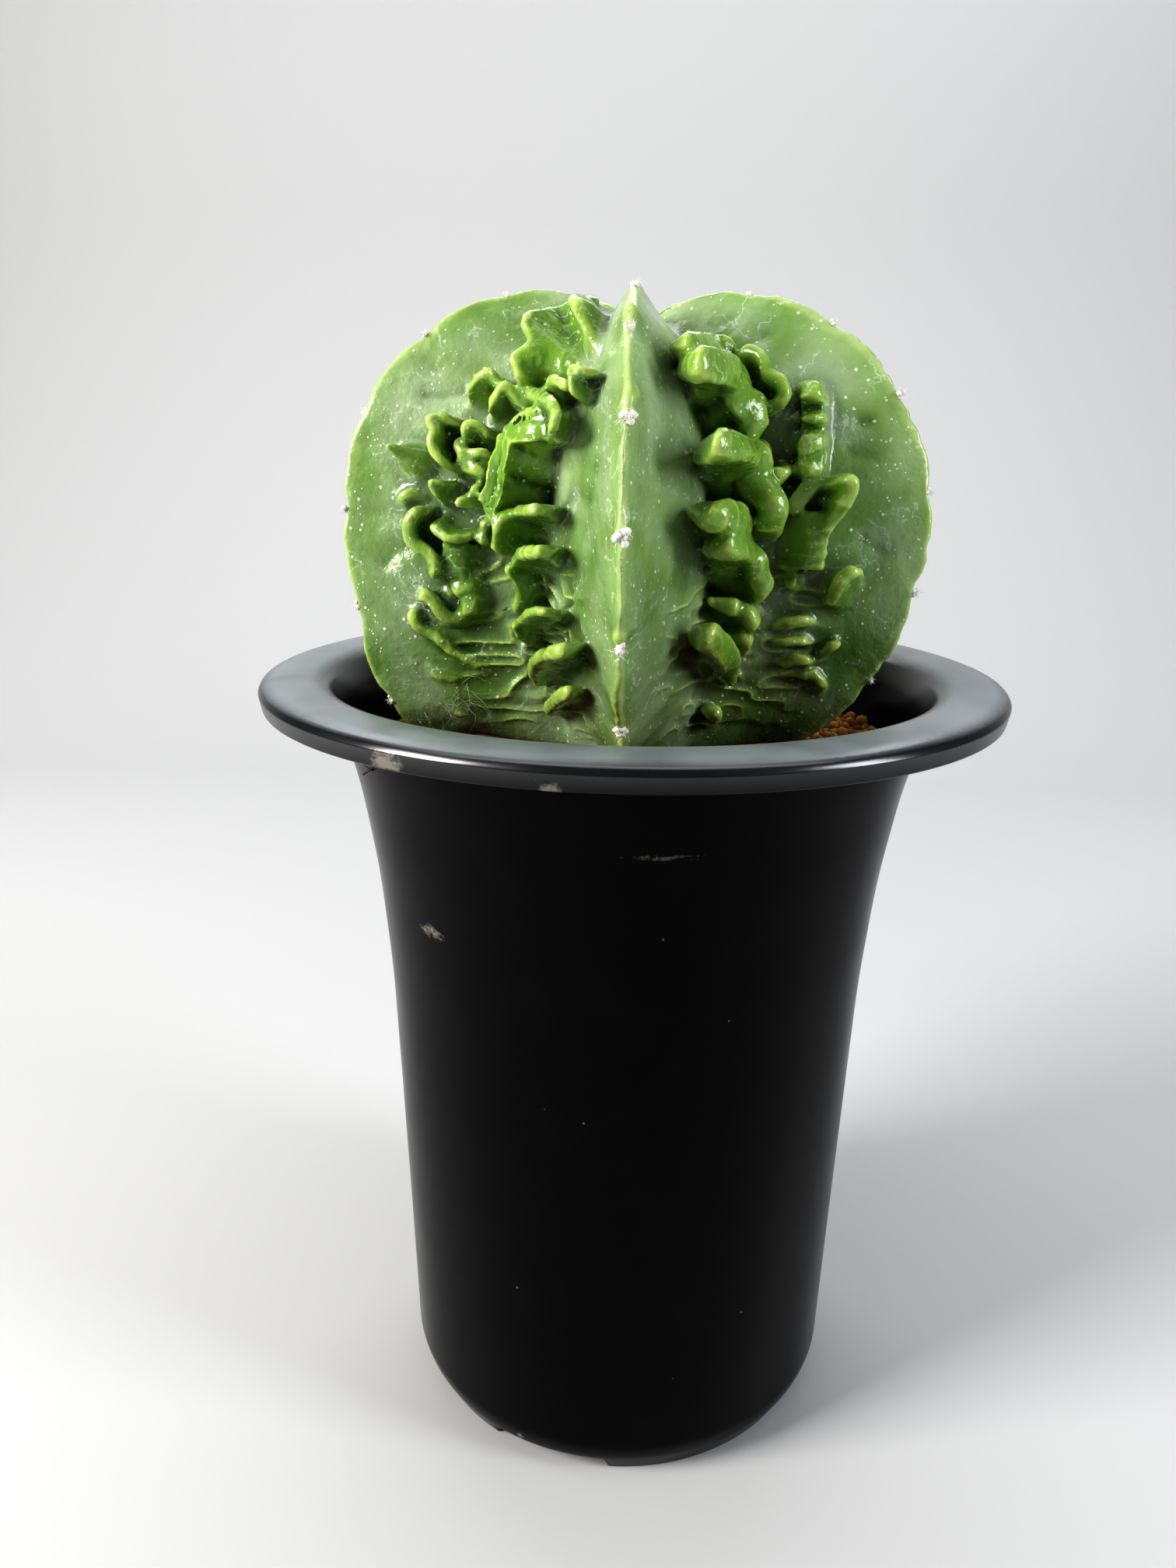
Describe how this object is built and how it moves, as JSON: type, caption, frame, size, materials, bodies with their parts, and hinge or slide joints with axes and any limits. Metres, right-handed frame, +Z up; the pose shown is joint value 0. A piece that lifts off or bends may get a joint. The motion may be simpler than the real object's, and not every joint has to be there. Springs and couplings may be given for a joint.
{
  "type": "potted bishops cap cactus",
  "caption": "Five-ribbed spineless cactus with folded growths between its ribs, sitting on clay granules in a deep black plastic pot with a broad rim.",
  "frame": {"origin": "middle of the pot's foot, at the surface that the pot stands on", "axes": "+Z up along the pot's axis, -Y towards the front, where one rib of the cactus points, +X to the right of somebody who looks at the front"},
  "size_m": [0.16, 0.16, 0.2506],
  "materials": {
    "black_plastic": "glossy black moulded plastic, rim a little worn",
    "clay_granules": "rough orange-brown baked clay granules",
    "cactus_skin": "waxy green plant skin with a pale bloom, semi-gloss"
  },
  "bodies": {
    "root": {"pot": "black_plastic", "soil": "clay_granules", "cactus": "cactus_skin"}
  },
  "joints": []
}
